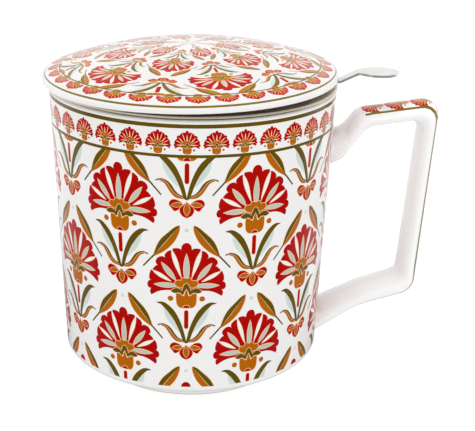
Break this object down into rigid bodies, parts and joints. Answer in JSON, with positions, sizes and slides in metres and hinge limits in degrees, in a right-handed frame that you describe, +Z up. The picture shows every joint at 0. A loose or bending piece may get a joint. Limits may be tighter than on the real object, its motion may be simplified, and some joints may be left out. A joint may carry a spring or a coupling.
{
  "type": "lidded tea mug with infuser",
  "caption": "Flared porcelain mug with a square strap handle, a lift-out stainless infuser basket with a thumb tab, and a loose domed lid.",
  "frame": {"origin": "on the mug's axis, in the plane of the foot ring it stands on", "axes": "+Z up along the mug's axis, +X towards the handle and the infuser's thumb tab"},
  "size_m": [0.1228, 0.0904, 0.1048],
  "materials": {
    "printed_porcelain": "glossy clear glaze over a printed red, ochre and olive flower pattern",
    "handle_porcelain": "glossy clear glaze, printed border along the outer face",
    "lid_porcelain": "glossy clear glaze over a printed flower pattern",
    "polished_steel": "polished stainless steel",
    "perforated_steel": "satin perforated stainless sheet"
  },
  "bodies": {
    "mug": {"mug_body": "printed_porcelain", "mug_handle": "handle_porcelain"},
    "infuser": {"infuser_collar": "polished_steel", "infuser_wall": "perforated_steel", "infuser_floor": "perforated_steel", "infuser_tab": "polished_steel"},
    "lid": {"lid": "lid_porcelain"}
  },
  "joints": [
    {"name": "infuser_lift", "type": "slide", "parent": "mug", "child": "infuser", "axis": [0, 0, 1], "range_m": [0, 0.08]},
    {"name": "lid_lift", "type": "slide", "parent": "infuser", "child": "lid", "axis": [0, 0, 1], "range_m": [0, 0.06]}
  ]
}
